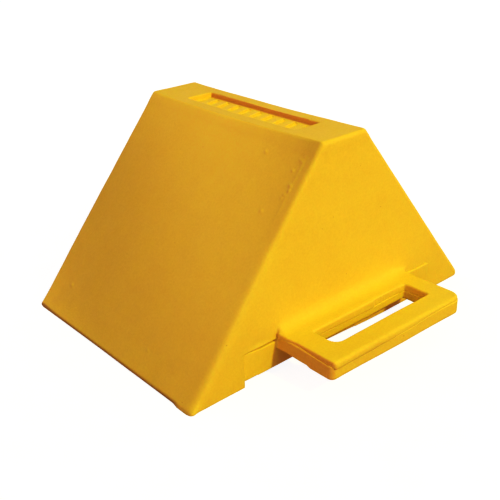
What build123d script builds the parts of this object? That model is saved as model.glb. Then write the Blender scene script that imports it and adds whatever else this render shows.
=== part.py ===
from build123d import *
import os
import math

# Wheel chock, cast polyurethane, with a moulded carry handle on one side.
# Millimetres. +Z up. X is the rolling direction, the handle points to -Y.
# Origin: middle of the bounding box in X and Y, on the ground.

# ---- chock body -------------------------------------------------------------
LENGTH = 301.0            # toe tip to heel tip on the ground
TOP_LENGTH = 44.0         # flat length of the top
BASE_WIDTH = 212.0        # across the side walls at the ground
TOP_WIDTH = 202.0         # across the side walls at the top
HEIGHT = 161.0
DISH = 1.7                # the top sags this much at mid width
EDGE_R = 3.2              # slope, side and top edges
GROUND_R = 1.0            # edge round the ground outline

# ---- handle -----------------------------------------------------------------
HANDLE_REACH = 56.0       # front of the handle beyond the base side line
HANDLE_X = 70.6           # half length of the upper half
HANDLE_TOP = 32.0
HANDLE_BOTTOM = 19.5      # underside of the two arms
BAR_BOTTOM = 17.5         # underside of the front bar
PARTING = 27.0            # joint plane between body and base moulding
LOWER_X = (-72.0, 70.8)   # lower half, a little longer than the upper
FRONT_CORNER_R = 9.0      # front corner at +X, both halves
UPPER_CORNER_R = 2.8      # front corner at -X, upper half
LOWER_CORNER_R = 4.5      # front corner at -X, lower half
BLEND_R = 9.0             # side wall into the handle's top
TOP_EDGE_R = 2.6
BAR_EDGE_R = 2.0
RAMP_Y = (28.8, 33.6)     # arms to front bar underside, beyond the side line

# ---- hand opening -----------------------------------------------------------
GRIP_X = (-51.5, 52.2)
GRIP_FROM_SIDE = 15.3     # base side line to the opening
GRIP_DEPTH = 22.7         # along Y
GRIP_SHIFT = -0.8         # opening in the lower half, moved along X
GRIP_BIG_R = 8.0          # front corner at -X
GRIP_SMALL_R = 1.8        # the other three corners
GRIP_EDGE_R = 1.2

# ---- base moulding and feet -------------------------------------------------
NOTCH_X = (-103.2, 103.0)  # gap between toe foot and heel foot
RAISE = 4.8               # underside of the middle above the ground
NOTCH_FAR = 89.0          # notch ends here, measured from the body's middle
FIT_GAP = 0.1
BLOCK_SKEW = (1.3, -0.3)  # outer face from the side line, at -X and +X
POCKET_X = (-60, -20, 20, 60)
POCKET_Y = (-4, 46)       # from the body's middle
POCKET_SIZE = (32, 42)
POCKET_R = 3.0
POCKET_DEPTH = 9.0
JOINT_CHAMFER = 0.5

# ---- grip grooves in the soles ----------------------------------------------
GROOVE_X = (111.5, 119.5, 127.5)
GROOVE_LENGTH = 176
GROOVE_WIDTH = 3.6
GROOVE_DEPTH = 1.8

# ---- top recess and the slanted bars on its floor ---------------------------
RECESS_X = (-13.2, 12.6)
RECESS_Y = (-65.2, 63.6)  # from the body's middle
RECESS_FLOOR = 155.4
RECESS_R = 1.5
BAR_COUNT = 9
BAR_PITCH = 13.2
BAR_FIRST_Y = -56.5       # first bar's +X end, from the body's middle
BAR_X = (-9.5, 9.2)
BAR_WIDTH = 6.6
BAR_SLANT = 4.5           # the -X end lies this much further to -Y
BAR_RISE = 2.2
BAR_ROOT = 0.5            # bars start this much below the floor
BAR_CORNER_R = 0.8

# ---- hollow and core --------------------------------------------------------
WALL = 15.0
CAVITY_X = 80.0           # half sizes in X and Y
CAVITY_Y = 88.0
CAVITY_TOP = 140.0
CORE_GAP = 0.25
RIM_W = 5.0               # inner face of the rim from the hollow's side
RIM_H = 4.0
RIM_GAP = 0.3

# ---- handle reinforcement ---------------------------------------------------
ROD_R = 4.0
ROD_X = 61.0
ROD_Z = 25.25
ROD_FRONT = 47.0          # rod centre line beyond the base side line
ROD_BEND = 10.0
ROD_CLEAR = 0.2
ROD_TAIL = 3.0            # rod end beyond the nut
ROD_END_ROOM = 1.5        # free space beyond the rod end
ROD_CHAMFER = 0.8
CHANNEL_RISE = 6.4        # straight-sided channel above the rod's axis
PLATE_T = 6.0
PLATE_X = 75.0            # half length
PLATE_Z = (14.0, 44.0)
PLATE_OUT = 80.0          # -Y face of the plate, from the body's middle
PLATE_CORNER_R = 3.0
PLATE_HOLE_R = 5.0
PLATE_HOLES = ((-25, 35), (25, 35))  # X, Z
WASHER_T = 1.6
WASHER_R = 8.0
NUT_AF = 13.0
NUT_T = 6.5
NUT_CHAMFER = 0.4
NUT_ROOM_X = 9.0          # half width of the room for washer and nut

# ---- base screws ------------------------------------------------------------
SCREW_X = 91.0
SCREW_Y = (-64.0, 0.0, 64.0)  # from the body's middle
SCREW_R = 4.0
SCREW_HOLE_R = SCREW_R + 0.5
SCREW_CHAMFER = 0.7
HEAD_R = 7.9
HEX_AF = 5.0              # socket in the head
HEX_DEPTH = 2.6
INSERT_R = 5.5
INSERT_LEN = 16.0
INSERT_Z = 27.5
WAIST_Z = 6.5             # above the insert's lower end
WAIST_H = 3.0
WAIST_DEPTH = 0.7
CUP_R = 10.0
CUP_T = 3.4
CUP_EDGE_R = 1.6
CBORE_DEPTH = 4.4

OVERRUN = 1.0             # cutters start this far outside the material

# ---- derived ----------------------------------------------------------------
half_base = BASE_WIDTH / 2
half_top = TOP_WIDTH / 2
mid_y = HANDLE_REACH / 2                      # body's middle in Y
slope = HEIGHT / ((LENGTH - TOP_LENGTH) / 2)  # dz/dx of the two slopes
side_y = mid_y - half_base                    # base side line, handle side
front_y = side_y - HANDLE_REACH
grip_y1 = side_y - GRIP_FROM_SIDE
grip_y0 = grip_y1 - GRIP_DEPTH
wall_x = WALL / math.sin(math.atan(slope))    # wall measured along X

rod_front_y = side_y - ROD_FRONT
plate_y0 = mid_y - PLATE_OUT
plate_y1 = plate_y0 + PLATE_T
washer_y1 = plate_y1 + WASHER_T
nut_y1 = washer_y1 + NUT_T
rod_end_y = nut_y1 + ROD_TAIL
rod_room_y = rod_end_y + ROD_END_ROOM

cup_top = RAISE + CBORE_DEPTH
cup_bottom = cup_top - CUP_T
screw_top = INSERT_Z + INSERT_LEN - 1.0

screw_spots = [(side * SCREW_X, mid_y + y) for side in (-1, 1) for y in SCREW_Y]
rod_spots = [(-ROD_X, ROD_Z), (ROD_X, ROD_Z)]

xz_mid = Plane(origin=(0, mid_y, 0), x_dir=(1, 0, 0), z_dir=(0, -1, 0))


# ---- helpers ----------------------------------------------------------------
def at(z):
    return Plane(origin=(0, 0, z))


def facing_inward(y):
    """Upright plane that faces +Y; its x axis runs to -X and its y axis up."""
    return Plane(origin=(0, y, 0), x_dir=(-1, 0, 0), z_dir=(0, 1, 0))


def facing_x(x):
    """Upright plane that faces +X; sketch coordinates are Y and Z."""
    return Plane(origin=(x, 0, 0), x_dir=(0, 1, 0), z_dir=(1, 0, 0))


def slope_x(z):
    return LENGTH / 2 - z / slope


def box_sketch(x0, x1, y0, y1):
    flat = Rectangle(x1 - x0, y1 - y0, mode=Mode.PRIVATE)
    return Pos((x0 + x1) / 2, (y0 + y1) / 2) * flat


def cavity_box(inset):
    """Plan of the hollow, each side moved inward by inset."""
    half_x = CAVITY_X - inset
    half_y = CAVITY_Y - inset
    return box_sketch(-half_x, half_x, mid_y - half_y, mid_y + half_y)


def cavity_profile(bottom, gap=0.0):
    """Outline of the hollow in X and Z, shrunk by gap at the sides and top."""
    shoulder = (LENGTH / 2 - wall_x - CAVITY_X) * slope - gap
    top_half = LENGTH / 2 - wall_x - CAVITY_TOP / slope - gap
    side = CAVITY_X - gap
    top = CAVITY_TOP - gap
    return [
        (-side, bottom),
        (side, bottom),
        (side, shoulder),
        (top_half, top),
        (-top_half, top),
        (-side, shoulder),
    ]


def plate_room(gap_x, gap_y):
    return box_sketch(
        -PLATE_X - gap_x, PLATE_X + gap_x, plate_y0 - gap_y, plate_y1 + gap_y
    )


def nut_room(side):
    """Plan of the room for washer, nut and rod end; side is -1 or 1."""
    middle = side * ROD_X
    return box_sketch(
        middle - NUT_ROOM_X, middle + NUT_ROOM_X, plate_y1 - 0.2, rod_room_y
    )


def front_corner(corners, side):
    """Corners on the handle's front line, at -X (side -1) or +X (side 1)."""
    return [v for v in corners if v.Y < front_y + 1 and v.X * side > 0]


def grip_big_corner(corners):
    return [v for v in corners if v.Y < grip_y0 + 1 and v.X < 0]


def grip_small_corners(corners, shift=0.0):
    """The three unrounded corners left once the big one is filleted."""
    return [
        v
        for v in corners
        if any(abs(v.X - end - shift) < 0.01 for end in GRIP_X)
        and (v.X > 0 or v.Y > grip_y1 - 0.01)
    ]


def at_height(z, tolerance=0.05):
    """Edge filter: centre lies at height z."""
    return lambda e: abs(e.center().Z - z) < tolerance


def sweep_rod(end_y, radius, channel_rise=0.0):
    """U-shaped bar along the rod's centre line, optionally widened upward."""
    with BuildPart() as swept:
        with BuildLine():
            FilletPolyline(
                (-ROD_X, end_y, ROD_Z),
                (-ROD_X, rod_front_y, ROD_Z),
                (ROD_X, rod_front_y, ROD_Z),
                (ROD_X, end_y, ROD_Z),
                radius=ROD_BEND,
            )
        with BuildSketch(
            Plane(origin=(-ROD_X, end_y, ROD_Z), x_dir=(1, 0, 0), z_dir=(0, -1, 0))
        ):
            Circle(radius)
            if channel_rise:
                with Locations((0, channel_rise / 2)):
                    Rectangle(2 * radius, channel_rise)
        sweep()
    return swept.part


# ---- handle rod, and the space it takes up in the mouldings -----------------
rod_solid = sweep_rod(rod_end_y, ROD_R)
rod_space = sweep_rod(rod_room_y, ROD_R + ROD_CLEAR)
rod_channel = sweep_rod(rod_room_y, ROD_R + ROD_CLEAR, CHANNEL_RISE)

with BuildPart() as handle_rod:
    add(rod_solid)
    chamfer(
        handle_rod.edges()
        .filter_by(GeomType.CIRCLE)
        .filter_by(lambda e: abs(e.center().Y - rod_end_y) < 0.01),
        ROD_CHAMFER,
    )

# ---- body -------------------------------------------------------------------
with BuildPart() as body:
    # wedge profile, taller than needed
    with BuildSketch(xz_mid):
        over = HEIGHT + 3
        Polygon(
            (-LENGTH / 2, 0),
            (LENGTH / 2, 0),
            (slope_x(over), over),
            (-slope_x(over), over),
            align=None,
        )
    extrude(amount=half_base + 5, both=True)
    # trimmed to side walls with draft and a dished top
    with BuildSketch(facing_x(0)):
        with BuildLine():
            Polyline(
                (mid_y - half_top, HEIGHT),
                (mid_y - half_base, 0),
                (mid_y + half_base, 0),
                (mid_y + half_top, HEIGHT),
            )
            ThreePointArc(
                (mid_y + half_top, HEIGHT),
                (mid_y, HEIGHT - DISH),
                (mid_y - half_top, HEIGHT),
            )
        make_face()
    extrude(amount=LENGTH, both=True, mode=Mode.INTERSECT)
    fillet(body.edges().filter_by(lambda e: e.center().Z > 30), EDGE_R)
    fillet(body.edges().filter_by(lambda e: e.center().Z < 0.1), GROUND_R)

    # upper half of the handle
    with BuildSketch(at(PARTING)):
        add(box_sketch(-HANDLE_X, HANDLE_X, front_y, side_y + 6))
        fillet(front_corner(vertices(), -1), UPPER_CORNER_R)
        fillet(front_corner(vertices(), 1), FRONT_CORNER_R)
    extrude(amount=HANDLE_TOP - PARTING)
    # soft blend of side wall into the handle's top
    fillet(
        body.edges()
        .filter_by(at_height(HANDLE_TOP))
        .filter_by(lambda e: abs(e.center().Y - side_y) < 2.5 and abs(e.center().X) < 1),
        BLEND_R,
    )
    fillet(
        body.edges()
        .filter_by(at_height(HANDLE_TOP))
        .filter_by(lambda e: e.center().Y < side_y - 10),
        TOP_EDGE_R,
    )

    # hand opening
    with BuildSketch(at(PARTING - OVERRUN)):
        add(box_sketch(GRIP_X[0], GRIP_X[1], grip_y0, grip_y1))
        fillet(grip_big_corner(vertices()), GRIP_BIG_R)
        fillet(grip_small_corners(vertices()), GRIP_SMALL_R)
    extrude(amount=HANDLE_TOP, mode=Mode.SUBTRACT)
    fillet(
        body.edges()
        .filter_by(at_height(HANDLE_TOP))
        .filter_by(
            lambda e: grip_y0 - 1 < e.center().Y < grip_y1 + 1
            and GRIP_X[0] - 1 < e.center().X < GRIP_X[1] + 1
        ),
        GRIP_EDGE_R,
    )

    # long recess in the top, with plain slanted bars on its floor
    with BuildSketch(at(RECESS_FLOOR)):
        add(box_sketch(*RECESS_X, mid_y + RECESS_Y[0], mid_y + RECESS_Y[1]))
        fillet(vertices(), RECESS_R)
    extrude(amount=20, mode=Mode.SUBTRACT)
    with BuildSketch(at(RECESS_FLOOR - BAR_ROOT)):
        for i in range(BAR_COUNT):
            bar_y = mid_y + BAR_FIRST_Y + i * BAR_PITCH
            add(
                Polygon(
                    (BAR_X[0], bar_y - BAR_SLANT),
                    (BAR_X[1], bar_y),
                    (BAR_X[1], bar_y + BAR_WIDTH),
                    (BAR_X[0], bar_y - BAR_SLANT + BAR_WIDTH),
                    align=None,
                    mode=Mode.PRIVATE,
                )
            )
        fillet(vertices(), BAR_CORNER_R)
    extrude(amount=BAR_RISE + BAR_ROOT)

    # middle of the underside is raised, and a deep notch takes the base moulding
    with BuildSketch(at(-OVERRUN)):
        add(box_sketch(*NOTCH_X, side_y - 5, mid_y + half_base + 5))
    extrude(amount=RAISE + OVERRUN, mode=Mode.SUBTRACT)
    with BuildSketch(at(0)):
        add(box_sketch(*NOTCH_X, side_y - 5, mid_y + NOTCH_FAR))
    extrude(amount=PARTING, mode=Mode.SUBTRACT)

    # hollow for the core
    with BuildSketch(xz_mid):
        Polygon(*cavity_profile(PARTING - OVERRUN), align=None)
    extrude(amount=CAVITY_Y, both=True, mode=Mode.SUBTRACT)
    # groove for the handle rod
    add(rod_space, mode=Mode.SUBTRACT)
    # bores for the threaded inserts
    with BuildSketch(at(PARTING - OVERRUN)):
        with Locations(*screw_spots):
            Circle(INSERT_R)
    extrude(amount=INSERT_Z + INSERT_LEN - PARTING + OVERRUN, mode=Mode.SUBTRACT)
    # narrower bores that run on above the inserts
    with BuildSketch(at(PARTING - OVERRUN)):
        with Locations(*screw_spots):
            Circle(SCREW_HOLE_R)
    extrude(amount=INSERT_Z + INSERT_LEN - PARTING + 5, mode=Mode.SUBTRACT)
    # blind grip grooves in the soles of toe and heel
    with BuildSketch(at(0)):
        with Locations(*[(side * x, mid_y) for side in (-1, 1) for x in GROOVE_X]):
            SlotOverall(GROOVE_LENGTH, GROOVE_WIDTH, rotation=90)
    extrude(amount=GROOVE_DEPTH, mode=Mode.SUBTRACT)

# ---- base moulding ----------------------------------------------------------
with BuildPart() as base_moulding:
    # block between the feet; its outer face is a little askew to the side wall
    with BuildSketch(at(RAISE)):
        block_y1 = mid_y + NOTCH_FAR - FIT_GAP
        with BuildLine():
            Polyline(
                (NOTCH_X[0] + FIT_GAP, side_y + BLOCK_SKEW[0]),
                (NOTCH_X[1] - FIT_GAP, side_y + BLOCK_SKEW[1]),
                (NOTCH_X[1] - FIT_GAP, block_y1),
                (NOTCH_X[0] + FIT_GAP, block_y1),
                close=True,
            )
        make_face()
    extrude(amount=PARTING - RAISE)

    # lower half of the handle: arms, then the deeper front bar with its ramp
    with BuildSketch(facing_x(LOWER_X[0])):
        Polygon(
            (side_y + 8, PARTING),
            (side_y + 8, HANDLE_BOTTOM),
            (side_y - RAMP_Y[0], HANDLE_BOTTOM),
            (side_y - RAMP_Y[1], BAR_BOTTOM),
            (front_y, BAR_BOTTOM),
            (front_y, PARTING),
            align=None,
        )
    extrude(amount=LOWER_X[1] - LOWER_X[0])
    fillet(
        base_moulding.edges()
        .filter_by(Axis.Z)
        .filter_by(lambda e: e.center().Y < front_y + 1 and e.center().X < 0),
        LOWER_CORNER_R,
    )
    fillet(
        base_moulding.edges()
        .filter_by(Axis.Z)
        .filter_by(lambda e: e.center().Y < front_y + 1 and e.center().X > 0),
        FRONT_CORNER_R,
    )
    fillet(
        base_moulding.edges()
        .filter_by(at_height(BAR_BOTTOM))
        .filter_by(lambda e: e.center().Y < front_y + 12),
        BAR_EDGE_R,
    )
    # hand opening
    with BuildSketch(at(BAR_BOTTOM - 2)):
        add(box_sketch(GRIP_X[0] + GRIP_SHIFT, GRIP_X[1] + GRIP_SHIFT, grip_y0, grip_y1))
        fillet(grip_big_corner(vertices()), GRIP_BIG_R)
        fillet(grip_small_corners(vertices(), GRIP_SHIFT), GRIP_SMALL_R)
    extrude(amount=PARTING, mode=Mode.SUBTRACT)

    # locating rim that stands up into the hollow
    with BuildSketch(at(PARTING)):
        add(cavity_box(RIM_GAP))
        add(cavity_box(RIM_W), mode=Mode.SUBTRACT)
    extrude(amount=RIM_H)
    # cored pockets in the underside
    with BuildSketch(at(RAISE)):
        with Locations(*[(x, mid_y + y) for x in POCKET_X for y in POCKET_Y]):
            Rectangle(*POCKET_SIZE)
        fillet(vertices(), POCKET_R)
    extrude(amount=POCKET_DEPTH, mode=Mode.SUBTRACT)

    # channel for the rod, seat for the plate, room for washers and nuts
    add(rod_channel, mode=Mode.SUBTRACT)
    with BuildSketch(at(PLATE_Z[0])):
        add(plate_room(0.25, 0.05))
    extrude(amount=40, mode=Mode.SUBTRACT)
    with BuildSketch(at(ROD_Z - WASHER_R - 0.6)):
        for side in (-1, 1):
            add(nut_room(side))
    extrude(amount=30, mode=Mode.SUBTRACT)

    # screw holes with counterbores for the cup washers
    with BuildSketch(at(RAISE - OVERRUN)):
        with Locations(*screw_spots):
            Circle(SCREW_HOLE_R)
    extrude(amount=PARTING, mode=Mode.SUBTRACT)
    with BuildSketch(at(RAISE - OVERRUN)):
        with Locations(*screw_spots):
            Circle(CUP_R + 0.6)
    extrude(amount=CBORE_DEPTH + OVERRUN, mode=Mode.SUBTRACT)
    # eased edge along the joint on the handle side
    chamfer(
        base_moulding.edges()
        .filter_by(at_height(PARTING, 0.01))
        .filter_by(lambda e: abs(e.center().Y - side_y) < 2.0 and e.length > 20),
        JOINT_CHAMFER,
    )

# ---- foam core --------------------------------------------------------------
with BuildPart() as foam_core:
    with BuildSketch(xz_mid):
        Polygon(*cavity_profile(PARTING, CORE_GAP), align=None)
    extrude(amount=CAVITY_Y - CORE_GAP, both=True)
    # rebate over the base moulding's rim
    with BuildSketch(at(PARTING)):
        add(cavity_box(-OVERRUN))
        add(cavity_box(RIM_W + CORE_GAP), mode=Mode.SUBTRACT)
    extrude(amount=RIM_H + CORE_GAP, mode=Mode.SUBTRACT)
    # slots over the rod, the plate, the washers and the nuts
    add(rod_space, mode=Mode.SUBTRACT)
    with BuildSketch(at(PARTING - OVERRUN)):
        add(plate_room(0.5, 0.5))
    extrude(amount=PLATE_Z[1] - PARTING + 1.5, mode=Mode.SUBTRACT)
    with BuildSketch(at(PARTING - OVERRUN)):
        for side in (-1, 1):
            add(nut_room(side))
    extrude(amount=ROD_Z + WASHER_R + 1.5 - PARTING, mode=Mode.SUBTRACT)

# ---- anchor plate -----------------------------------------------------------
with BuildPart() as anchor_plate:
    with BuildSketch(facing_inward(plate_y0)):
        with Locations((0, (PLATE_Z[0] + PLATE_Z[1]) / 2)):
            RectangleRounded(2 * PLATE_X, PLATE_Z[1] - PLATE_Z[0], PLATE_CORNER_R)
        with Locations(*rod_spots):
            Circle(ROD_R + 0.3, mode=Mode.SUBTRACT)
        with Locations(*PLATE_HOLES):
            Circle(PLATE_HOLE_R, mode=Mode.SUBTRACT)
    extrude(amount=PLATE_T)

# ---- rod washers and rod nuts -----------------------------------------------
with BuildPart() as rod_washers:
    with BuildSketch(facing_inward(plate_y1)):
        with Locations(*rod_spots):
            Circle(WASHER_R)
            Circle(ROD_R + 0.2, mode=Mode.SUBTRACT)
    extrude(amount=WASHER_T)

with BuildPart() as rod_nuts:
    with BuildSketch(facing_inward(washer_y1)):
        with Locations(*rod_spots):
            RegularPolygon(NUT_AF / 2, 6, major_radius=False)
            Circle(ROD_R + 0.05, mode=Mode.SUBTRACT)
    extrude(amount=NUT_T)
    # eased bores
    chamfer(rod_nuts.edges().filter_by(GeomType.CIRCLE), NUT_CHAMFER)

# ---- threaded inserts -------------------------------------------------------
with BuildPart() as threaded_inserts:
    with BuildSketch(at(INSERT_Z)):
        with Locations(*screw_spots):
            Circle(INSERT_R)
            Circle(SCREW_R + 0.05, mode=Mode.SUBTRACT)
    extrude(amount=INSERT_LEN)
    # waist that the cast material grips
    with BuildSketch(at(INSERT_Z + WAIST_Z)):
        with Locations(*screw_spots):
            Circle(INSERT_R + OVERRUN)
            Circle(INSERT_R - WAIST_DEPTH, mode=Mode.SUBTRACT)
    extrude(amount=WAIST_H, mode=Mode.SUBTRACT)

# ---- cup washers ------------------------------------------------------------
with BuildPart() as cup_washers:
    with BuildSketch(at(cup_bottom)):
        with Locations(*screw_spots):
            Circle(CUP_R)
    extrude(amount=CUP_T)
    fillet(cup_washers.edges().filter_by(at_height(cup_bottom, 0.01)), CUP_EDGE_R)
    # countersink, then the hole through
    with BuildSketch(at(cup_bottom)):
        with Locations(*screw_spots):
            Circle(HEAD_R)
    extrude(amount=HEAD_R - SCREW_HOLE_R, taper=45, mode=Mode.SUBTRACT)
    with BuildSketch(at(cup_bottom)):
        with Locations(*screw_spots):
            Circle(SCREW_HOLE_R)
    extrude(amount=CUP_T + OVERRUN, mode=Mode.SUBTRACT)

# ---- base screws ------------------------------------------------------------
with BuildPart() as base_screws:
    # countersunk head, shank, hex socket
    with BuildSketch(at(cup_bottom)):
        with Locations(*screw_spots):
            Circle(HEAD_R)
    extrude(amount=HEAD_R - SCREW_R, taper=45)
    with BuildSketch(at(cup_bottom + 1)):
        with Locations(*screw_spots):
            Circle(SCREW_R)
    extrude(amount=screw_top - cup_bottom - 1)
    with BuildSketch(at(cup_bottom)):
        with Locations(*screw_spots):
            RegularPolygon(HEX_AF / 2, 6, major_radius=False)
    extrude(amount=HEX_DEPTH, mode=Mode.SUBTRACT)
    chamfer(base_screws.edges().filter_by(at_height(screw_top, 0.01)), SCREW_CHAMFER)

# ---- output -----------------------------------------------------------------
pieces = {
    "body": body,
    "base_moulding": base_moulding,
    "foam_core": foam_core,
    "handle_rod": handle_rod,
    "anchor_plate": anchor_plate,
    "rod_washers": rod_washers,
    "rod_nuts": rod_nuts,
    "threaded_inserts": threaded_inserts,
    "cup_washers": cup_washers,
    "base_screws": base_screws,
}
os.makedirs("parts", exist_ok=True)
for name, piece in pieces.items():
    piece.part.label = name
    export_step(piece.part, f"parts/{name}.step")
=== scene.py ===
import math

import bpy
import numpy as np
from mathutils import Matrix, Vector


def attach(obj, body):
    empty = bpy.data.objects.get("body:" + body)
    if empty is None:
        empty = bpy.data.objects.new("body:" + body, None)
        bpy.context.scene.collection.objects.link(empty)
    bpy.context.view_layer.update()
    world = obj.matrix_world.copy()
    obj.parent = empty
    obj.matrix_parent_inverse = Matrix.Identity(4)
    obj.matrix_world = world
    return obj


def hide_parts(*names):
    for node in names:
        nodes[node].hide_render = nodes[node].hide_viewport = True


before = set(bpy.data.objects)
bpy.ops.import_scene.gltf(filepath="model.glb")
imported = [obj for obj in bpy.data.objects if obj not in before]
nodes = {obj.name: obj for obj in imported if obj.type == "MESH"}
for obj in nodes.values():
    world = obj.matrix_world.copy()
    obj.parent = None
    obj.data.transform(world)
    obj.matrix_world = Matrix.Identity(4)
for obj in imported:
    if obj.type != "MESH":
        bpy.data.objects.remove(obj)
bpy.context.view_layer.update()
scene = bpy.context.scene

Y0 = 28.0                 # middle of the chock body along Y, in mm
SIDE_Y = -78.0            # side wall's ground line on the handle side
FRONT_Y = -134.0          # front of the handle
PARTING = 27.0
GRIP_Y = (-116.0, -93.3)  # hand opening, near and far wall
GRIP_X = (-51.5, 52.2)
DRAFT = 5.0 / 161.0       # side walls lean in
RISE = 161.0 / 128.5      # slopes, dz/dx

# --------------------------------------------------------------------------
# numpy helpers (millimetres)


def smooth(a, b, x):
    t = np.clip((x - a) / (b - a), 0.0, 1.0)
    return t * t * (3 - 2 * t)


def bump(x, c, s):
    return np.exp(-(((x - c) / s) ** 2))


def waves(p, wavelength, seed, count=14):
    """Smooth seeded random field, about -1..1."""
    r = np.random.default_rng(seed)
    out = np.zeros(len(p))
    for _ in range(count):
        d = r.normal(size=3)
        d /= np.linalg.norm(d)
        k = 2 * math.pi / (wavelength * r.uniform(0.7, 1.5))
        out += np.sin(p @ d * k + r.uniform(0, 2 * math.pi))
    return out / math.sqrt(count / 2) * 0.6


def mesh_arrays(me):
    co = np.zeros(len(me.vertices) * 3, np.float32)
    me.vertices.foreach_get("co", co)
    no = np.zeros(len(me.vertices) * 3, np.float32)
    me.vertex_normals.foreach_get("vector", no)
    return co.reshape(-1, 3).astype(float) * 1000, no.reshape(-1, 3).astype(float)


def edges_of(me):
    e = np.zeros(len(me.edges) * 2, np.int32)
    me.edges.foreach_get("vertices", e)
    return e.reshape(-1, 2)


def relax(co, e, rounds, keep=None):
    """Plain neighbour averaging; keep is a 0..1 weight that holds a vertex still."""
    n = np.bincount(e.ravel(), minlength=len(co)).astype(float)[:, None]
    for _ in range(rounds):
        s = np.zeros_like(co)
        for k in range(3):
            s[:, k] = np.bincount(e[:, 0], co[e[:, 1], k], len(co)) + np.bincount(
                e[:, 1], co[e[:, 0], k], len(co)
            )
        t = co + 0.5 * (s / n - co)
        co = t if keep is None else co * keep[:, None] + t * (1 - keep[:, None])
    return co


def relax_here(co, e, weight, rounds):
    """Neighbour averaging only where weight is above zero."""
    near = weight[e].max(1) > 0
    part = e[near]
    used, inv = np.unique(part, return_inverse=True)
    part = inv.reshape(part.shape)
    out = co.copy()
    out[used] = relax(co[used], part, rounds, keep=1 - weight[used])
    return out


def remeshed(node, name, voxel_mm):
    """Dense copy of a CAD node's surface, laid back onto that surface."""
    src = nodes[node]
    ob = bpy.data.objects.new(name + "_tmp", src.data.copy())
    target = bpy.data.objects.new(name + "_target", src.data.copy())
    scene.collection.objects.link(ob)
    scene.collection.objects.link(target)
    mod = ob.modifiers.new("dense", "REMESH")
    mod.mode = "VOXEL"
    mod.voxel_size = voxel_mm / 1000
    mod.adaptivity = 0.0
    mod.use_smooth_shade = True
    wrap = ob.modifiers.new("lay", "SHRINKWRAP")
    wrap.target = target
    wrap.wrap_method = "NEAREST_SURFACEPOINT"
    wrap.wrap_mode = "ON_SURFACE"
    dg = bpy.context.evaluated_depsgraph_get()
    me = bpy.data.meshes.new_from_object(ob.evaluated_get(dg))
    bpy.data.objects.remove(ob)
    bpy.data.objects.remove(target)
    me.name = name
    me.materials.clear()
    new = bpy.data.objects.new(name, me)
    scene.collection.objects.link(new)
    return new


def put(me, co):
    co[:, 2] = np.maximum(co[:, 2], 0.0)
    me.vertices.foreach_set("co", (co / 1000).astype(np.float32).ravel())
    me.polygons.foreach_set("use_smooth", np.ones(len(me.polygons), bool))
    me.update()


def attr(me, name, values):
    a = me.attributes.new(name, "FLOAT", "POINT")
    a.data.foreach_set("value", values.astype(np.float32))


VOXEL = 0.8

# --------------------------------------------------------------------------
# shared shape fields (the two mouldings meet along the handle)


def cast_skin(co, no, seed):
    """Shrinkage and mould waviness along the normal, in mm."""
    d = 0.14 * waves(co, 95, seed) + 0.05 * waves(co, 26, seed + 1)
    d += 0.018 * waves(co, 9, seed + 2)
    return co + no * d[:, None]


def wall_distance(x, y, ax, ay, bx, by):
    """Plan distance from points to a straight wall from a to b."""
    dx, dy = bx - ax, by - ay
    t = np.clip(((x - ax) * dx + (y - ay) * dy) / (dx * dx + dy * dy), 0, 1)
    return np.hypot(x - ax - t * dx, y - ay - t * dy)


def joint_lift(x, y):
    """How far the handle's joint line wanders from the parting plane, in mm."""
    gx0, gx1 = GRIP_X
    gy0, gy1 = GRIP_Y
    walls = (
        ((-71.4, FRONT_Y, -71.4, SIDE_Y), 1.0 + 1.5 * smooth(-131, -93, y)),
        ((-71.4, FRONT_Y, 70.7, FRONT_Y), -0.4 + 2.0 * smooth(2, 36, x)),
        ((70.7, FRONT_Y, 70.7, SIDE_Y), 1.6 + 0 * x),
        ((gx0, gy1, 15.4, gy1), -1.5 - 1.2 * smooth(-43, 15, x)),
        ((15.8, gy1, gx1, gy1), -1.8 + 0.3 * smooth(16, 48, x)),
        ((gx1, gy0, gx1, gy1), -1.4 + 0 * x),
        ((gx0, gy0, gx1, gy0), -0.6 + 0 * x),
        ((gx0, gy0, gx0, gy1), -0.9 + 0 * x),
    )
    top = np.zeros(len(x))
    w_sum = np.zeros(len(x))
    for seg, h in walls:
        w = 1.0 / (wall_distance(x, y, *seg) + 0.5) ** 3
        top += w * h
        w_sum += w
    return top / w_sum * smooth(SIDE_Y - 0.5, SIDE_Y - 9, y)


def handle_shape(co, below):
    """Wandering joint line, and the two halves cast a little askew."""
    x, y, z = co.T.copy()
    lift = joint_lift(x, y)
    if below:
        f = np.clip((z - 18.5) / (PARTING - 18.5), 0, 1)
        lift = lift + 0.3
    else:
        f = np.clip((31.6 - z) / (31.6 - PARTING), 0, 1)
        lift = lift - 0.3
    on = (y < SIDE_Y - 0.5) & (z < 32.5)
    co[:, 2] += np.where(on, lift * f, 0)
    # toe-side ends: the lower half stands proud; heel-side ends are a little short
    end = smooth(-66, -69.5, x) * smooth(-90, -100, y) * on
    co[:, 0] += end * (0.2 if below else 0.35 * smooth(31.5, 29, z))
    co[:, 0] -= 0.4 * smooth(63, 69, x) * smooth(SIDE_Y - 4, SIDE_Y - 14, y) * on * 1.5
    w = smooth(GRIP_Y[0] - 1, GRIP_Y[0] - 11, y) * on
    co[:, 1] += w * ((0.65 - 0.025 * x) if below else (0.4 - 0.0143 * x))
    return co


# --------------------------------------------------------------------------
# body

body = remeshed("body", "chock_body", VOXEL)
co, no = mesh_arrays(body.data)
ed = edges_of(body.data)
# surfaces of the cavity stay as they are
inside = (
    (150.5 - co[:, 2] / RISE - np.abs(co[:, 0]) > 6)
    & (co[:, 1] - SIDE_Y - co[:, 2] * DRAFT > 6)
    & (Y0 + 106 - co[:, 2] * DRAFT - co[:, 1] > 6)
    & (co[:, 2] > PARTING + 0.2)
    & (co[:, 2] < 150)
)
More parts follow.
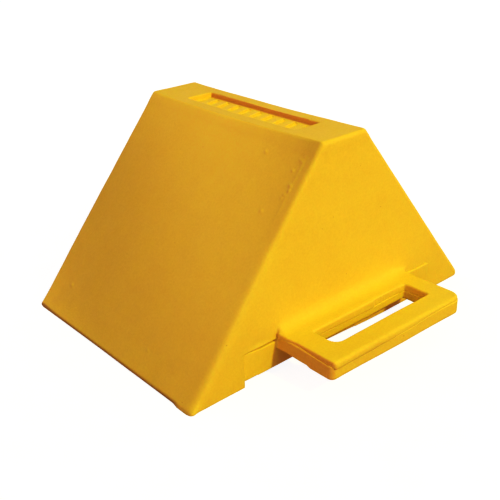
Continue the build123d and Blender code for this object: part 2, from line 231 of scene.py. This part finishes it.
# the handle flows softly out of the side wall
x, y, z = co.T.copy()
taper = smooth(50, 69, x) * smooth(94, 76, x) * (y < SIDE_Y + 5) * (z > 32)
drop = 0.72 * np.clip(z - 32, 0, None) * taper * smooth(60, 42, z)
drop[inside] = 0
co[:, 2] -= drop
co[:, 1] -= drop * DRAFT * (y > SIDE_Y + z * DRAFT - 0.6)
x, y, z = co.T
flow = smooth(SIDE_Y - 16, SIDE_Y - 10, y) * smooth(SIDE_Y + 5, SIDE_Y + 1, y)
flow *= smooth(30.5, 32.5, z) * smooth(56, 46, z)
flow *= smooth(-69, -64, x) * smooth(94, 84, x)
flow[inside] = 0
co = relax_here(co, ed, flow, 80)
# near edge of the toe slope: a small radius at the top, a wide one near the ground
rim = y - (SIDE_Y + z * DRAFT)
run = (150.5 - z / RISE) - np.abs(x)
soft = smooth(13, 7, np.abs(rim)) * smooth(14, 8, run)
soft *= smooth(0, 6, z) * (0.15 + 0.85 * smooth(128, 40, z)) * smooth(150, 140, z)
soft[inside | (x > 0)] = 0
co = relax_here(co, ed, soft, 90)
base = co.copy()
co = cast_skin(co, no, 11)
co += no * (0.28 * smooth(150, 156, base[:, 2]) * (np.abs(no[:, 2]) < 0.97))[:, None]

# toe: the tip flares out to a blunt nose; a pad at the corner by the handle
x, y, z = base.T
zc0 = np.clip(z, 0, None)
toe = smooth(-118, -138, x)
far_less = 1 - 0.45 * smooth(Y0 + 80, Y0 + 104, y)
pad = smooth(SIDE_Y + 22, SIDE_Y + 14, y)
co[:, 0] -= 2.2 * np.exp(-zc0 / 8.0) * toe * far_less
land = 1.0 + 1.2 * smooth(Y0 + 100, SIDE_Y + 30, y)
land = land * (1 - pad) + 0.7 * pad
blunt = ((x < -145.5) & (z < land)) * smooth(SIDE_Y + 1.5, SIDE_Y + 5, y)
blunt *= smooth(Y0 + 105, Y0 + 99, y)
co[:, 0] += blunt * (np.minimum(co[:, 0], -151.1) - co[:, 0])
corner = smooth(SIDE_Y + 6, SIDE_Y + 1, y)
co[:, 0] -= 1.1 * pad * (1 - 0.6 * corner) * np.exp(-zc0 / 5.0) * toe
co[:, 0] -= 0.3 * corner * np.exp(-zc0 / 4.0) * toe
co[:, 1] -= 0.75 * corner * np.exp(-zc0 / 5.0) * smooth(-141, -147, x)
mid = np.clip(1 - ((y - Y0) / 104.0) ** 2, 0, 1) * (1 - pad)
co[:, 2] += np.where((z < 2.0) & (x < -104), 0.6 * mid, 0)

# heel: a rounder tip than the toe
heel = smooth(143, 148, x)
co[:, 0] -= 1.1 * np.exp(-((zc0 / 2.4) ** 2)) * heel
heel_corner = heel * smooth(SIDE_Y + 6, SIDE_Y, y) * np.exp(-zc0 / 4.0)
co[:, 0] -= 0.8 * heel_corner
co[:, 1] += 0.7 * heel_corner

# far edge of the toe slope is a little full
slope = smooth(-15, -25, x) * (z > 3)
far = bump(y, Y0 + 104, 9) * np.sin(np.clip(z / 161, 0, 1) * math.pi)
co[:, 1] += 0.65 * far * slope * (no[:, 1] > 0.05)

# mould line and air marks on the toe slope
on_slope = (no[:, 0] < -0.7) & (z > 4)
line = bump(y, Y0 - 92.2, 0.9) * smooth(104, 122, z) * smooth(153, 150, z)
co[on_slope] += (no * (0.24 * line)[:, None])[on_slope]
marks = [
    (-33.8, -27.1, 146.0, 1.5, 0.5), (-32.5, -61.9, 147.6, 1.4, 0.5),
    (-37.9, -58.7, 140.9, 1.3, 0.55), (-44.6, -63.0, 132.6, 1.5, 0.6),
    (-46.7, -64.3, 129.8, 1.2, 0.45), (-49.1, -61.8, 126.8, 1.3, 0.5),
    (-50.8, -60.5, 124.7, 1.1, 0.4), (-59.3, -49.1, 114.1, 1.4, 0.5),
    (-132.6, 106.4, 22.3, 1.7, 0.6), (-137.9, -10.3, 15.7, 1.2, 0.4),
    (-70.5, 70.7, 100.0, 1.1, 0.3), (-101.5, 19.7, 61.0, 1.0, 0.25),
    (-118.5, 83.7, 40.0, 1.0, 0.25), (-54.5, 95.7, 120.0, 1.1, 0.3),
    (-90.5, -44.3, 75.0, 1.1, 0.25),
]
for mx, my, mz, mr, mh in marks:
    d2 = (x - mx) ** 2 + (y - my) ** 2 + (z - mz) ** 2
    co[on_slope] += (no * (mh * np.exp(-d2 / (mr * mr)))[:, None])[on_slope]
# a few more on the other faces, seeded
rng = np.random.default_rng(5)
for _ in range(46):
    face = rng.integers(0, 4)
    zc = rng.uniform(12, 150)
    half = 150.5 - zc / RISE
    if face == 0:
        c = np.array([rng.uniform(-half, half) * 0.9, SIDE_Y + zc * DRAFT, zc])
    elif face == 1:
        c = np.array([rng.uniform(-half, half) * 0.9, Y0 + 106 - zc * DRAFT, zc])
    else:
        c = np.array([half, rng.uniform(-90, 90) + Y0, zc])
    if face == 0 and zc < 42:
        continue
    r = rng.uniform(0.9, 1.5)
    h = rng.uniform(0.12, 0.35)
    near = np.abs(base - c).max(1) < 4 * r
    d2 = ((base[near] - c) ** 2).sum(1)
    co[near] += no[near] * (h * np.exp(-d2 / r**2))[:, None]

# bars in the recess die away before its heel-side wall
over = (np.abs(y - Y0) < 64.5) & (np.abs(x) < 12.2) & (z > 155.5) & (z < 158.5) & (no[:, 2] > -0.3)
co[:, 2] -= np.where(over, (z - 155.4) * smooth(5.5, 8.5, x), 0)

# hand opening, far wall: a shut-off step and an ejector mark
far_wall = (np.abs(y - GRIP_Y[1]) < 1.2) & (z < 31.2) & (np.abs(x) < 50) & (no[:, 1] < -0.5)
co[:, 1] += np.where(far_wall, 0.45 * smooth(15.2, 16.0, x) * smooth(47, 44, x), 0)
ring = np.abs(np.hypot(x - 27.5, z - 29.0) - 1.7)
co[:, 1] += np.where(far_wall, 0.22 * np.exp(-((ring / 0.55) ** 2)), 0)
# scar on the handle's top, near the toe-side end of the opening
scar = bump(np.hypot((x + 60.8) * 0.45, y + 102.0), 0, 0.8) * (z > 31)
co[:, 2] += 0.22 * scar * (no[:, 2] > 0.7)

arm = (y < SIDE_Y - 0.5) & (z < 32.6)
co[:, 0] -= 1.25 * smooth(-62, -70, x) * smooth(-98, -86, y) * arm
# crisper top edge on the toe-side end of the handle
a = (2.6 - (x + 70.6)) / 2.6
b = (2.6 - (32.0 - z)) / 2.6
turn = arm & (a > 0.02) & (b > 0.02) & (x < -60)
k = np.where(turn, 0.65 * (np.hypot(a, b) / np.maximum(np.maximum(a, b), 1e-6) - 1), 0)
k *= smooth(SIDE_Y - 3, SIDE_Y - 9, y)
co[:, 0] -= 2.6 * a * k
co[:, 2] += 2.6 * b * k
co = handle_shape(co, False)
# lip of flash left at the root of the handle, toe side
chip = np.exp(-((x + 71.2) ** 2 + (y + 79.3) ** 2 + (z - 28.4) ** 2) / 1.3**2)
co[:, 0] -= 1.1 * chip
# lower edge of the side wall above the seam rolls outward a touch
lip = bump(z, PARTING + 0.4, 1.4) * bump(x, -86, 13) * (np.abs(y - SIDE_Y) < 3)
co[:, 1] -= 0.55 * lip
dent = bump(x, -91, 7) * bump(z, 31.5, 3.2) * (np.abs(y - SIDE_Y) < 4)
co[:, 1] += 0.35 * dent
co = np.where(inside[:, None], base, co)
x, y, z = base.T
# painted light and shade: the slopes are lighter high up and darker low down and towards the far side, where the
# light falls off; less so on the heel side
on_slopes = smooth(0.35, 0.65, np.abs(no[:, 0])) * (z > 1) * (no[:, 2] > 0.2)
zz, yy = z / 80 - 1, (y - Y0) / 100
slope_light_falloff = 0.10 * (z - 78) / 78 - 0.035 * smooth(Y0 - 20, Y0 + 90, y) + 0.04
slope_light_falloff += 0.042 * zz - 0.064 * yy - 0.022 * zz * zz - 0.06 * yy * yy + 0.075 * zz * yy
slope_light_falloff += -0.014 + 0.033 * zz - 0.053 * yy + 0.053 * zz**2 + 0.023 * yy**2 - 0.06 * zz * yy
slope_light_falloff += 0.187 * zz**2 * yy - 0.192 * zz * yy**2 + 0.049 * yy**3
rim = y - (SIDE_Y + z * DRAFT)
# painted shade: a darker band on the slope about 10 mm in from its near edge
slope_light_falloff -= 0.025 * bump(rim, 10, 5)
# painted shade on the recess walls, the shaded toe-side end of the handle and the toe's lower lip; painted light
# on the recess floor and the hand opening's far wall
well = (np.abs(x) < 14) & (z < 159.4) & (z > 154) & (np.abs(y - Y0) < 95)
# painted shade: the recess's side walls darker and more orange
recess_wall_shade = smooth(0.4, 0.8, np.abs(no[:, 0])) * well
# painted light: the recess floor lighter
recess_floor_light = well * smooth(0.5, 0.9, no[:, 2])
# painted shade: the shaded toe-side end of the handle more orange
arm_end_shade = (x < -69) & (y < SIDE_Y) & (z < 31.6)
heel_less = np.where(x > 0, 0.3, 1.0)
# painted shadow: the toe's lower lip darker and more orange, where it meets the ground
toe_lip_shadow = smooth(-147.5, -149, x) * smooth(3.2, 1.6, z) * (1 - 0.6 * smooth(SIDE_Y + 20, SIDE_Y + 12, y))
# painted light: the far wall of the hand opening lighter
grip_wall_light = (np.abs(y - GRIP_Y[1]) < 1.5) * (z < 31.5) * (no[:, 1] < -0.4) * (np.abs(x) < 54)
attr(body.data, "shade", 0.07 * grip_wall_light + on_slopes * slope_light_falloff * heel_less * (1 - toe_lip_shadow) - 0.12 * recess_wall_shade + 0.09 * recess_floor_light - 0.5 * toe_lip_shadow)
attr(body.data, "shade_tint", 0.24 * recess_wall_shade + 0.13 * arm_end_shade + 0.25 * toe_lip_shadow)
put(body.data, co)

# --------------------------------------------------------------------------
# base moulding

lower = remeshed("base_moulding", "chock_base", VOXEL)
co, no = mesh_arrays(lower.data)
ed = edges_of(lower.data)
base = co.copy()
x, y, z = base.T
co = cast_skin(co, no, 31)
# toe-side end of the block is buried a little in the foot, so no groove shows
near_side = (y < SIDE_Y + 16) & (y > SIDE_Y - 1.5)
co[:, 0] -= 1.2 * smooth(-101.8, -103.0, x) * near_side
# the seam opens towards the handle on the toe side, and is shut at its end
near_side = smooth(SIDE_Y + 16, SIDE_Y + 4, y) * smooth(SIDE_Y - 4, SIDE_Y - 1, y)
up = np.clip((z - 20) / (PARTING - 20), 0, 1)
co[:, 2] -= 1.5 * near_side * smooth(-104, -84, x) * smooth(-71, -73.5, x) * up * 1.3
co[:, 2] += 0.4 * near_side * smooth(-99, -102, x) * up
co[:, 2] += 0.4 * near_side * smooth(70, 74, x) * up
# the block's lower edge hangs a little, most of all behind the handle
edge = smooth(SIDE_Y + 9, SIDE_Y + 5, y) * smooth(SIDE_Y - 3, SIDE_Y - 1, y) * smooth(14, 5, z)
hang = 0.5 + (0.6 * smooth(-62, -30, x) + 2.3 * smooth(-30, 50, x)) * smooth(100, 82, x)
co[:, 2] -= edge * hang * smooth(-104, -100, x) * smooth(104, 100, x)
# the front bar sags, more towards the toe
hand = smooth(SIDE_Y - 8, SIDE_Y - 26, y) * smooth(23, 19, z)
co[:, 2] -= hand * (0.3 + 0.45 * smooth(30, -45, x))
co = handle_shape(co, True)
x, y, z = base.T
# painted light: the block's face beside the handle's toe-side end and the opening's far wall lighter
front_light = (np.abs(y - SIDE_Y) < 3) * smooth(-70, -74, x) + (np.abs(y - GRIP_Y[1]) < 2) * (no[:, 1] < -0.4) * (np.abs(x) < 54)
attr(lower.data, "shade", 0.07 * front_light)
# painted shade: the lower half's toe-side end and the block's face under the handle more orange
attr(lower.data, "shade_tint", 0.13 * (x < -69) * (y < SIDE_Y - 1) + 0.08 * (np.abs(x) < 70) * (np.abs(y - SIDE_Y) < 3) * (z < 19))
put(lower.data, co)

for ob, node in ((body, "body"), (lower, "base_moulding")):
    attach(ob, "root")
    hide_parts(node)

# --------------------------------------------------------------------------
# materials, all from nodes


class Nodes:
    def __init__(self, name):
        self.mat = bpy.data.materials.new(name)
        self.mat.use_nodes = True
        self.t = self.mat.node_tree
        self.t.nodes.clear()
        self.out = self.t.nodes.new("ShaderNodeOutputMaterial")
        self.bsdf = self.t.nodes.new("ShaderNodeBsdfPrincipled")
        self.link(self.bsdf.outputs[0], self.out.inputs[0])
        geo = self.t.nodes.new("ShaderNodeTexCoord")
        self.pos = geo.outputs["Object"]

    def link(self, a, b):
        self.t.links.new(a, b)

    def node(self, kind, **kw):
        n = self.t.nodes.new(kind)
        for k, v in kw.items():
            if k in n.inputs:
                s = n.inputs[k]
                if hasattr(v, "is_output"):
                    self.link(v, s)
                else:
                    s.default_value = v
            else:
                setattr(n, k, v)
        return n

    def noise(self, scale, detail=2.0, rough=0.5, vec=None):
        n = self.node("ShaderNodeTexNoise", Scale=scale, Detail=detail, Roughness=rough)
        self.link(vec or self.pos, n.inputs["Vector"])
        return n.outputs["Fac"]

    def stretch(self, sx, sy, sz):
        m = self.node("ShaderNodeMapping")
        m.inputs["Scale"].default_value = (sx, sy, sz)
        self.link(self.pos, m.inputs["Vector"])
        return m.outputs[0]

    def voronoi(self, scale, feature="F1", vec=None):
        n = self.node("ShaderNodeTexVoronoi", Scale=scale)
        n.feature = feature
        self.link(vec or self.pos, n.inputs["Vector"])
        return n.outputs["Distance"]

    def ramp(self, fac, stops):
        n = self.node("ShaderNodeValToRGB")
        self.link(fac, n.inputs[0])
        cr = n.color_ramp
        while len(cr.elements) > 1:
            cr.elements.remove(cr.elements[0])
        cr.elements[0].position, cr.elements[0].color = stops[0][0], stops[0][1]
        for p, c in stops[1:]:
            cr.elements.new(p).color = c
        return n.outputs[0]

    def math(self, op, a, b=None, c=None, clamp=False):
        n = self.node("ShaderNodeMath")
        n.operation, n.use_clamp = op, clamp
        for i, v in enumerate((a, b, c)):
            if v is None:
                continue
            if hasattr(v, "is_output"):
                self.link(v, n.inputs[i])
            else:
                n.inputs[i].default_value = v
        return n.outputs[0]

    def maprange(self, v, a, b, c, d):
        n = self.node("ShaderNodeMapRange")
        self.link(v, n.inputs[0])
        for i, q in enumerate((a, b, c, d)):
            n.inputs[i + 1].default_value = q
        return n.outputs[0]

    def mix(self, fac, a, b, kind="MIX"):
        n = self.node("ShaderNodeMix")
        n.data_type, n.blend_type = "RGBA", kind
        for s, v in ((n.inputs[0], fac), (n.inputs[6], a), (n.inputs[7], b)):
            if hasattr(v, "is_output"):
                self.link(v, s)
            else:
                s.default_value = v
        return n.outputs[2]

    def bumps(self, pairs):
        prev = None
        for height, distance in pairs:
            n = self.node("ShaderNodeBump")
            n.inputs["Strength"].default_value = 1.0
            n.inputs["Distance"].default_value = distance
            self.link(height, n.inputs["Height"])
            if prev is not None:
                self.link(prev, n.inputs["Normal"])
            prev = n.outputs[0]
        self.link(prev, self.bsdf.inputs["Normal"])


def polyurethane():
    m = Nodes("cast_polyurethane")
    # uneven pigment: broad clouds, then fine mottling
    broad = m.noise(9, 3, 0.55)
    fine = m.noise(140, 3, 0.6)
    c = m.ramp(broad, [(0.3, (0.890, 0.655, 0.074, 1)), (0.55, (0.915, 0.690, 0.078, 1)),
                       (0.8, (0.935, 0.715, 0.082, 1))])
    c = m.mix(m.maprange(fine, 0.3, 0.7, 0.0, 0.10), c, (0.80, 0.48, 0.06, 1))
    speck = m.noise(620, 2, 0.55)
    c = m.mix(1.0, c, m.ramp(speck, [(0.3, (0.95, 0.945, 0.9, 1)), (0.7, (1.0, 1.0, 1.0, 1))]), "MULTIPLY")
    # painted light and shade, read from two mesh attributes: one scales the colour, the other takes green out so
    # painted shade turns orange
    painted_shade = m.node("ShaderNodeAttribute")
    painted_shade.attribute_name = "shade"
    gain = m.math("ADD", painted_shade.outputs["Fac"], 1.0)
    tint = m.node("ShaderNodeCombineColor")
    shade_tint = m.node("ShaderNodeAttribute")
    shade_tint.attribute_name = "shade_tint"
    less = m.math("SUBTRACT", 1.0, shade_tint.outputs["Fac"])
    m.link(gain, tint.inputs[0])
    m.link(m.math("MULTIPLY", gain, less), tint.inputs[1])
    m.link(gain, tint.inputs[2])
    c = m.mix(1.0, c, tint.outputs[0], "MULTIPLY")
    # painted shade: darker within 50 mm of the ground, broken up by noise
    sep = m.node("ShaderNodeSeparateXYZ")
    m.link(m.pos, sep.inputs[0])
    low = m.maprange(sep.outputs[2], 0.05, 0.0, 0.0, 1.0)
    ground_shade = m.math("MULTIPLY", low, m.maprange(m.noise(38, 4, 0.6), 0.48, 0.7, 0.0, 0.22), clamp=True)
    c = m.mix(ground_shade, c, (0.62, 0.42, 0.07, 1))
    # pin holes
    pin = m.voronoi(70)
    hole = m.maprange(pin, 0.018, 0.03, 1.0, 0.0)
    c = m.mix(m.math("MULTIPLY", hole, 0.55), c, (0.42, 0.19, 0.01, 1))
    m.link(c, m.bsdf.inputs["Base Color"])
    rough = m.maprange(m.noise(60, 4, 0.6), 0.3, 0.7, 0.52, 0.66)
    m.link(rough, m.bsdf.inputs["Roughness"])
    m.bsdf.inputs["IOR"].default_value = 1.48
    m.bsdf.inputs["Specular IOR Level"].default_value = 0.26
    m.bsdf.inputs["Subsurface Weight"].default_value = 0.12
    m.bsdf.inputs["Subsurface Radius"].default_value = (1.0, 0.28, 0.03)
    m.bsdf.inputs["Subsurface Scale"].default_value = 0.006
    m.bumps([
        (m.noise(24, 2, 0.5), 0.0009),
        (m.noise(330, 3, 0.55), 0.00014),
        (m.noise(900, 2, 0.5), 0.00007),
        (hole, -0.0003),
    ])
    return m.mat


def foam():
    m = Nodes("rigid_foam")
    cells = m.voronoi(420)
    c = m.ramp(m.noise(20, 4, 0.6), [(0.3, (0.70, 0.58, 0.34, 1)), (0.7, (0.82, 0.71, 0.46, 1))])
    c = m.mix(m.maprange(cells, 0.0, 0.6, 0.55, 0.0), c, (0.52, 0.40, 0.20, 1))
    m.link(c, m.bsdf.inputs["Base Color"])
    m.bsdf.inputs["Roughness"].default_value = 0.9
    m.bumps([(m.noise(60, 3, 0.6), 0.0012), (cells, 0.0007)])
    return m.mat


def steel(name, vec, tint):
    m = Nodes(name)
    lines = m.noise(900, 3, 0.6, vec=m.stretch(*vec))
    spots = m.noise(90, 4, 0.6)
    c = m.ramp(spots, [(0.3, tuple(t * 0.82 for t in tint) + (1,)), (0.7, tuple(tint) + (1,))])
    m.link(c, m.bsdf.inputs["Base Color"])
    m.bsdf.inputs["Metallic"].default_value = 1.0
    r = m.math("ADD", m.maprange(lines, 0.3, 0.7, 0.0, 0.14), m.maprange(spots, 0.3, 0.7, 0.26, 0.38))
    m.link(r, m.bsdf.inputs["Roughness"])
    m.bumps([(lines, 0.00006), (spots, 0.00018)])
    return m.mat


def brass():
    m = Nodes("brass")
    rings = m.noise(700, 2, 0.5, vec=m.stretch(0.15, 0.15, 1.0))
    c = m.ramp(m.noise(70, 3, 0.6), [(0.3, (0.50, 0.31, 0.09, 1)), (0.7, (0.68, 0.45, 0.16, 1))])
    m.link(c, m.bsdf.inputs["Base Color"])
    m.bsdf.inputs["Metallic"].default_value = 1.0
    m.link(m.maprange(rings, 0.3, 0.7, 0.22, 0.4), m.bsdf.inputs["Roughness"])
    m.bumps([(rings, 0.00012)])
    return m.mat


def dress(ob, mat):
    ob.data.materials.clear()
    ob.data.materials.append(mat)


pu = polyurethane()
plated = steel("zinc_plate", (1, 1, 1), (0.60, 0.61, 0.60))
drawn = steel("drawn_bar", (1, 0.05, 1), (0.50, 0.51, 0.53))
foam_mat, brass_mat = foam(), brass()
dress(body, pu)
dress(lower, pu)
for n, mat in {
    "body": pu, "base_moulding": pu, "foam_core": foam_mat, "handle_rod": drawn,
    "anchor_plate": plated, "rod_washers": plated, "rod_nuts": plated,
    "threaded_inserts": brass_mat, "cup_washers": plated, "base_screws": plated,
}.items():
    dress(nodes[n], mat)

# --------------------------------------------------------------------------
# floor

FLOOR_LIFT = 0.92
FLOOR_BOUNCE = 0.46
fm = Nodes("pale_floor")
grain = fm.noise(30, 4, 0.6)
fm.link(fm.ramp(grain, [(0.3, (0.17, 0.17, 0.17, 1)), (0.7, (0.20, 0.20, 0.20, 1))]), fm.bsdf.inputs["Base Color"])
fm.bsdf.inputs["Roughness"].default_value = 0.8
fm.bsdf.inputs["Specular IOR Level"].default_value = 0.1
lift = fm.node("ShaderNodeEmission")
lift.inputs["Strength"].default_value = FLOOR_LIFT
seen = fm.node("ShaderNodeAddShader")
fm.link(fm.bsdf.outputs[0], seen.inputs[0])
fm.link(lift.outputs[0], seen.inputs[1])
bounce = fm.node("ShaderNodeBsdfDiffuse")
bounce.inputs["Color"].default_value = (FLOOR_BOUNCE, FLOOR_BOUNCE * 0.76, FLOOR_BOUNCE, 1)
ray = fm.node("ShaderNodeLightPath")
pick = fm.node("ShaderNodeMixShader")
fm.link(ray.outputs["Is Camera Ray"], pick.inputs[0])
fm.link(bounce.outputs[0], pick.inputs[1])
fm.link(seen.outputs[0], pick.inputs[2])
fm.link(pick.outputs[0], fm.out.inputs[0])
me = bpy.data.meshes.new("floor")
n, half = 24, 12.0
g = np.linspace(-half, half, n + 1)
verts = [(float(a), float(b), -0.00005) for b in g for a in g]
faces = [
    (j * (n + 1) + i, j * (n + 1) + i + 1, (j + 1) * (n + 1) + i + 1, (j + 1) * (n + 1) + i)
    for j in range(n) for i in range(n)
]
me.from_pydata(verts, [], faces)
floor = bpy.data.objects.new("floor", me)
scene.collection.objects.link(floor)
floor.data.materials.append(fm.mat)

# --------------------------------------------------------------------------
# light


def area(name, toward, distance, size, watts, color=(1, 1, 1), target=(0, 0, 0.07)):
    d = Vector(toward).normalized()
    data = bpy.data.lights.new(name, "AREA")
    data.shape, data.size, data.energy, data.color = "DISK", size, watts, color
    ob = bpy.data.objects.new(name, data)
    scene.collection.objects.link(ob)
    ob.location = Vector(target) + d * distance
    ob.rotation_mode = "QUATERNION"
    ob.rotation_quaternion = d.to_track_quat("Z", "Y")
    return ob


LIGHTS = {
    "key": ((0.12, -0.75, 0.65), 2.2, 0.2, 26.2, (0.985, 1.0, 0.06)),
}
for light_name, spec in LIGHTS.items():
    if spec[3] > 0:
        area(light_name, *spec)

world = bpy.data.worlds.new("studio")
scene.world = world
world.use_nodes = True
wt = world.node_tree
wt.nodes.clear()
wo = wt.nodes.new("ShaderNodeOutputWorld")
bg = wt.nodes.new("ShaderNodeBackground")
bg.inputs[1].default_value = 1.0
# soft tent: brighter and cooler near the horizon
sky = wt.nodes.new("ShaderNodeTexCoord")
height = wt.nodes.new("ShaderNodeSeparateXYZ")
wt.links.new(sky.outputs["Generated"], height.inputs[0])
tent = wt.nodes.new("ShaderNodeValToRGB")
tent.color_ramp.elements[0].position = 0.0
tent.color_ramp.elements[0].color = (1.00, 0.56, 1.12, 1)
tent.color_ramp.elements[1].position = 1.0
tent.color_ramp.elements[1].color = (0.34, 0.38, 0.10, 1)
wt.links.new(height.outputs[2], tent.inputs[0])
wt.links.new(tent.outputs[0], bg.inputs[0])
cam_bg = wt.nodes.new("ShaderNodeBackground")
cam_bg.inputs[0].default_value = (1, 1, 1, 1)
cam_bg.inputs[1].default_value = 1.0
lp = wt.nodes.new("ShaderNodeLightPath")
mx = wt.nodes.new("ShaderNodeMixShader")
wt.links.new(lp.outputs["Is Camera Ray"], mx.inputs[0])
wt.links.new(bg.outputs[0], mx.inputs[1])
wt.links.new(cam_bg.outputs[0], mx.inputs[2])
wt.links.new(mx.outputs[0], wo.inputs[0])

scene.view_settings.view_transform = "Standard"
scene.view_settings.look = "None"
scene.view_settings.exposure = 0.0
scene.view_settings.gamma = 1.0
# the camera's tone curve: shadows fall off faster than highlights
scene.view_settings.use_curve_mapping = True
tone = scene.view_settings.curve_mapping
tone_curve = tone.curves[3]
for tx, ty in ((0.1, 0.04), (0.2, 0.11), (0.3, 0.20), (0.4, 0.31), (0.5, 0.43),
               (0.6, 0.555), (0.7, 0.67), (0.8, 0.78), (0.9, 0.89)):
    tone_curve.points.new(tx, ty)
tone.update()

# --------------------------------------------------------------------------
# camera, as the photograph was taken

right = Vector((0.7491389606, -0.6619883032, -0.0237129528))
down = Vector((-0.3037060609, -0.3114348550, -0.9004282090))
ahead = Vector((0.5886878922, 0.6817476201, -0.4343578435))
cam_data = bpy.data.cameras.new("camera")
cam_data.sensor_width = 36.0
cam_data.lens = 790.768 / 500 * 36.0
cam_data.clip_start, cam_data.clip_end = 0.05, 60
cam = bpy.data.objects.new("camera", cam_data)
scene.collection.objects.link(cam)
m = Matrix.Identity(4)
for i in range(3):
    m[i][0], m[i][1], m[i][2] = right[i], -down[i], -ahead[i]
m.translation = Vector((-0.39985366, -0.45850690 + Y0 / 1000, 0.33047410))
cam.matrix_world = m
scene.camera = cam
